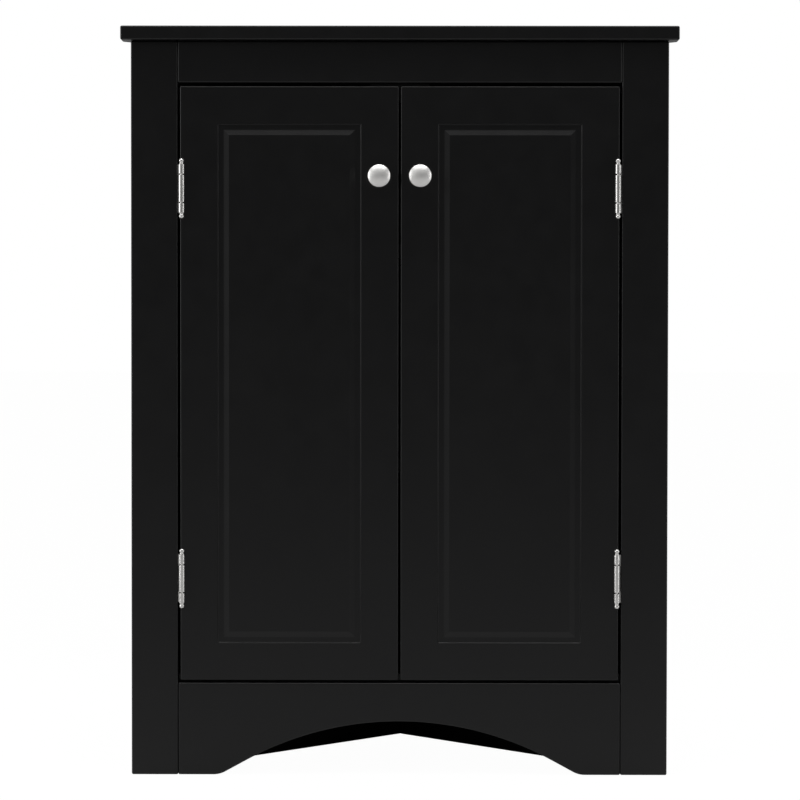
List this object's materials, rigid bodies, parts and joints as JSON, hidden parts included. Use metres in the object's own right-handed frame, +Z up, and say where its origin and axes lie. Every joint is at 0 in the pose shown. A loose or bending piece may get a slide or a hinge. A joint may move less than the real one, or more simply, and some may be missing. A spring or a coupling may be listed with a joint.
{
  "type": "corner cupboard",
  "caption": "Low triangular corner cupboard with a flat overhanging top, a pair of grooved doors with round knobs, an arched apron and adjustable shelves.",
  "frame": {"origin": "on the floor, under the middle of the whole object's box, knobs included", "axes": "+Z up, the doors face -Y, the back corner points to +Y, +X to the right seen from the front"},
  "size_m": [0.594, 0.3326, 0.8],
  "materials": {
    "black_paint": "satin black paint on fibreboard, edges slightly eased",
    "satin_nickel": "satin nickel plate",
    "hinge_nickel": "bright nickel plate",
    "zinc_steel": "zinc-plated steel",
    "black_plastic": "moulded, fine matt grain"
  },
  "bodies": {
    "carcass": {"top_panel": "black_paint", "bottom_panel": "black_paint", "left_back_panel": "black_paint", "right_back_panel": "black_paint", "lower_corner_screw": "zinc_steel", "middle_corner_screw": "zinc_steel", "upper_corner_screw": "zinc_steel", "left_corner_block": "black_paint", "right_corner_block": "black_paint", "left_stile": "black_paint", "right_stile": "black_paint", "top_rail": "black_paint", "arched_apron": "black_paint", "left_rail_cam_bolt": "zinc_steel", "left_rail_cam": "zinc_steel", "left_apron_cam_bolt": "zinc_steel", "left_apron_cam": "zinc_steel", "right_rail_cam_bolt": "zinc_steel", "right_rail_cam": "zinc_steel", "right_apron_cam_bolt": "zinc_steel", "right_apron_cam": "zinc_steel", "left_back_top_cam_bolt": "zinc_steel", "left_back_top_cam": "zinc_steel", "left_front_top_cam_bolt": "zinc_steel", "left_front_top_cam": "zinc_steel", "right_back_top_cam_bolt": "zinc_steel", "right_back_top_cam": "zinc_steel", "right_front_top_cam_bolt": "zinc_steel", "right_front_top_cam": "zinc_steel", "lower_shelf_pin_left_back": "satin_nickel", "lower_shelf_pin_left_front": "satin_nickel", "lower_shelf_pin_right_back": "satin_nickel", "lower_shelf_pin_right_front": "satin_nickel", "upper_shelf_pin_left_back": "satin_nickel", "upper_shelf_pin_left_front": "satin_nickel", "upper_shelf_pin_right_back": "satin_nickel", "upper_shelf_pin_right_front": "satin_nickel", "lower_left_hinge_frame_leaf": "hinge_nickel", "lower_left_hinge_pin": "hinge_nickel", "upper_left_hinge_frame_leaf": "hinge_nickel", "upper_left_hinge_pin": "hinge_nickel", "lower_right_hinge_frame_leaf": "hinge_nickel", "lower_right_hinge_pin": "hinge_nickel", "upper_right_hinge_frame_leaf": "hinge_nickel", "upper_right_hinge_pin": "hinge_nickel", "magnetic_catch": "black_plastic"},
    "left_door": {"left_door": "black_paint", "left_knob": "satin_nickel", "left_knob_screw": "zinc_steel", "left_strike_plate": "zinc_steel", "lower_left_hinge_door_leaf": "hinge_nickel", "upper_left_hinge_door_leaf": "hinge_nickel"},
    "right_door": {"right_door": "black_paint", "right_knob": "satin_nickel", "right_knob_screw": "zinc_steel", "right_strike_plate": "zinc_steel", "lower_right_hinge_door_leaf": "hinge_nickel", "upper_right_hinge_door_leaf": "hinge_nickel"},
    "lower_shelf": {"lower_shelf": "black_paint"},
    "upper_shelf": {"upper_shelf": "black_paint"}
  },
  "joints": [
    {"name": "left_door_swing", "type": "hinge", "parent": "carcass", "child": "left_door", "pos_m": [-0.2326, -0.14555, 0.4193], "axis": [0, 0, -1], "range_deg": [0, 140]},
    {"name": "right_door_swing", "type": "hinge", "parent": "carcass", "child": "right_door", "pos_m": [0.2326, -0.14555, 0.4193], "axis": [0, 0, 1], "range_deg": [0, 140]},
    {"name": "lower_shelf_lift", "type": "slide", "parent": "carcass", "child": "lower_shelf", "axis": [0, 0, 1], "range_m": [0, 0.03]},
    {"name": "upper_shelf_lift", "type": "slide", "parent": "carcass", "child": "upper_shelf", "axis": [0, 0, 1], "range_m": [0, 0.03]}
  ]
}
